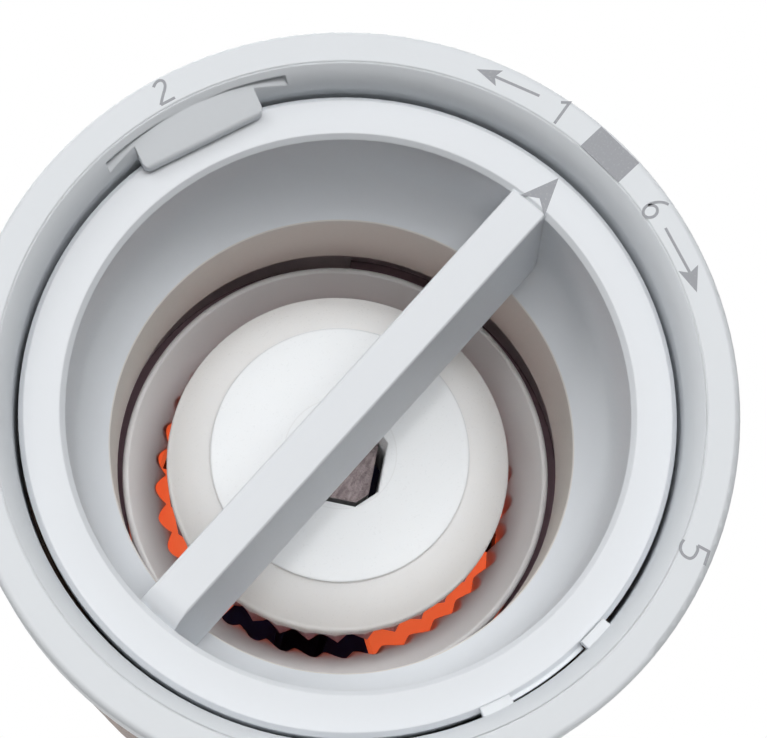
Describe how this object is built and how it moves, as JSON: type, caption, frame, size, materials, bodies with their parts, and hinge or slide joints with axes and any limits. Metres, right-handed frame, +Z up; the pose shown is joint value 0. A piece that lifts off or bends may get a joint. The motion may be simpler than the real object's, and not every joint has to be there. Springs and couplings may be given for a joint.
{
  "type": "salt mill",
  "caption": "Tall wooden table mill: the head turns a ceramic cone burr on a square spindle, and a dial in the base lifts the ring burr to set the grind.",
  "frame": {"origin": "on the mill's axis, in the plane the base ring stands on", "axes": "+Z up along the axis of the mill, +X along the dial's bar towards its pointer at rest"},
  "size_m": [0.058, 0.058, 0.1815],
  "materials": {
    "stained_wood": "dark stain, satin lacquer",
    "ring_plastic": "fine satin moulding",
    "dial_plastic": "smooth moulding",
    "housing_plastic": "moulded",
    "carrier_plastic": "moulded",
    "bridge_plastic": "orange moulding",
    "hub_plastic": "dark blue black moulding",
    "bush_plastic": "low friction plastic",
    "burr_ceramic": "unglazed, fine grain",
    "rubber_seal": "moulded",
    "spring_steel": "drawn wire",
    "zinc_steel": "zinc plated",
    "spindle_aluminium": "drawn bar, sawn end",
    "plate_aluminium": "turned",
    "knob_steel": "polished"
  },
  "bodies": {
    "body": {"base_ring": "ring_plastic", "wood_body": "stained_wood", "mechanism_housing": "housing_plastic", "bearing_bridge": "bridge_plastic", "bridge_bush": "bush_plastic", "housing_screws": "zinc_steel", "neck_bearing": "housing_plastic", "stator_spring": "spring_steel"},
    "dial": {"adjusting_dial": "dial_plastic", "dial_o_ring": "rubber_seal"},
    "stator": {"stator_carrier": "carrier_plastic", "ceramic_stator": "burr_ceramic"},
    "drive": {"ceramic_rotor": "burr_ceramic", "rotor_hub": "hub_plastic", "thrust_washer": "zinc_steel", "hub_clip": "zinc_steel", "hub_pin": "zinc_steel", "spindle": "spindle_aluminium"},
    "head": {"wood_head": "stained_wood", "head_liner": "housing_plastic", "head_seal_ring": "rubber_seal", "drive_plate": "plate_aluminium", "drive_plate_screws": "zinc_steel"},
    "knob": {"knob_washer": "knob_steel", "top_knob": "knob_steel"}
  },
  "joints": [
    {"name": "dial_turn", "type": "hinge", "parent": "body", "child": "dial", "pos_m": [0, 0, 0.0028], "axis": [0, 0, 1], "range_deg": [0, 350]},
    {"name": "stator_lift", "type": "slide", "parent": "body", "child": "stator", "axis": [0, 0, 1], "range_m": [-0.0036, 0], "deforming": ["stator_spring"]},
    {"name": "grind_turn", "type": "hinge", "parent": "body", "child": "drive", "pos_m": [0, 0, 0.046], "axis": [0, 0, 1], "continuous": true},
    {"name": "head_lift", "type": "slide", "parent": "drive", "child": "head", "axis": [0, 0, 1], "range_m": [0, 0.06]},
    {"name": "knob_off", "type": "slide", "parent": "head", "child": "knob", "axis": [0, 0, 1], "range_m": [0, 0.012]}
  ],
  "couplings": [
    {"joint": "stator_lift", "follows": "dial_turn", "m_per_rad": -0.00057296}
  ]
}
